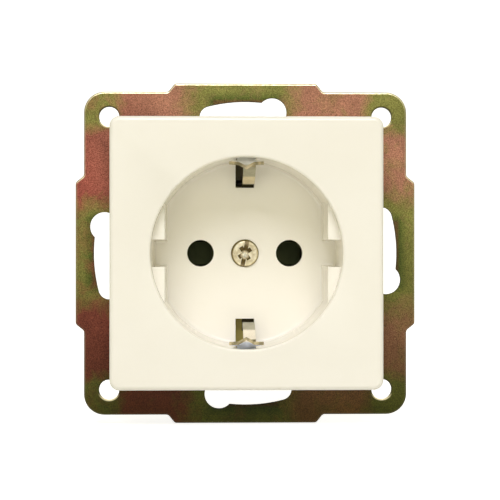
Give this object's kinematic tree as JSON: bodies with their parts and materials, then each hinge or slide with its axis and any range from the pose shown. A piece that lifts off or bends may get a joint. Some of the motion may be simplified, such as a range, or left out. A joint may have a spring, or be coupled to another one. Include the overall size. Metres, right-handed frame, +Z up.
{
  "type": "type f wall socket insert",
  "caption": "Flush wall socket insert with a round recess, side earth clips, a square cover plate, a steel mounting ring with keyhole slots and expanding claws.",
  "frame": {"origin": "centre of the mounting ring's rear face, which lies on the wall", "axes": "-Y out of the wall towards the plug, +Y into the wall box, +Z up, +X to the right as seen from the front"},
  "size_m": [0.071, 0.0445, 0.071],
  "materials": {
    "plate_plastic": "glossy ivory thermoset moulding",
    "screw_nickel": "nickel-plated steel",
    "ring_chromate": "yellow iridescent chromate on zinc-plated steel sheet",
    "base_moulding": "dark thermoset moulding",
    "cover_sheet": "dark insulating sheet",
    "clip_metal": "nickel-plated bronze sheet",
    "contact_brass": "stamped brass",
    "spring_steel": "blued spring steel",
    "clamp_steel": "yellow chromated steel",
    "terminal_screw_steel": "zinc-plated steel",
    "rivet_brass": "plated brass",
    "claw_steel": "zinc-plated steel sheet",
    "claw_screw_steel": "zinc-plated steel"
  },
  "bodies": {
    "socket": {"centre_plate": "plate_plastic", "centre_screw": "screw_nickel", "mounting_ring": "ring_chromate", "socket_base": "base_moulding", "base_cover": "cover_sheet", "earth_strap": "clip_metal", "line_contact": "contact_brass", "neutral_contact": "contact_brass", "line_contact_spring": "spring_steel", "neutral_contact_spring": "spring_steel", "line_clamp_plate": "clamp_steel", "neutral_clamp_plate": "clamp_steel", "earth_clamp_plate": "clamp_steel", "line_terminal_screw": "terminal_screw_steel", "neutral_terminal_screw": "terminal_screw_steel", "earth_terminal_screw": "terminal_screw_steel", "ring_rivet_1": "rivet_brass", "ring_rivet_2": "rivet_brass", "ring_rivet_3": "rivet_brass", "ring_rivet_4": "rivet_brass"},
    "left_claw": {"claw_left": "claw_steel"},
    "right_claw": {"claw_right": "claw_steel"},
    "left_claw_screw": {"claw_screw_left": "claw_screw_steel"},
    "right_claw_screw": {"claw_screw_right": "claw_screw_steel"}
  },
  "joints": [
    {"name": "left_claw_screw_turn", "type": "hinge", "parent": "socket", "child": "left_claw_screw", "pos_m": [-0.0243, 0, 0], "axis": [0, 1, 0], "range_deg": [0, 847]},
    {"name": "left_claw_swing", "type": "hinge", "parent": "socket", "child": "left_claw", "pos_m": [-0.0202, 0.012, 0], "axis": [0, 0, 1], "range_deg": [0, 16]},
    {"name": "right_claw_screw_turn", "type": "hinge", "parent": "socket", "child": "right_claw_screw", "pos_m": [0.0243, 0, 0], "axis": [0, 1, 0], "range_deg": [0, 847]},
    {"name": "right_claw_swing", "type": "hinge", "parent": "socket", "child": "right_claw", "pos_m": [0.0202, 0.012, 0], "axis": [0, 0, -1], "range_deg": [0, 16]}
  ],
  "couplings": [
    {"joint": "left_claw_swing", "follows": "left_claw_screw_turn", "ratio": 0.01888},
    {"joint": "right_claw_swing", "follows": "right_claw_screw_turn", "ratio": 0.01888}
  ]
}
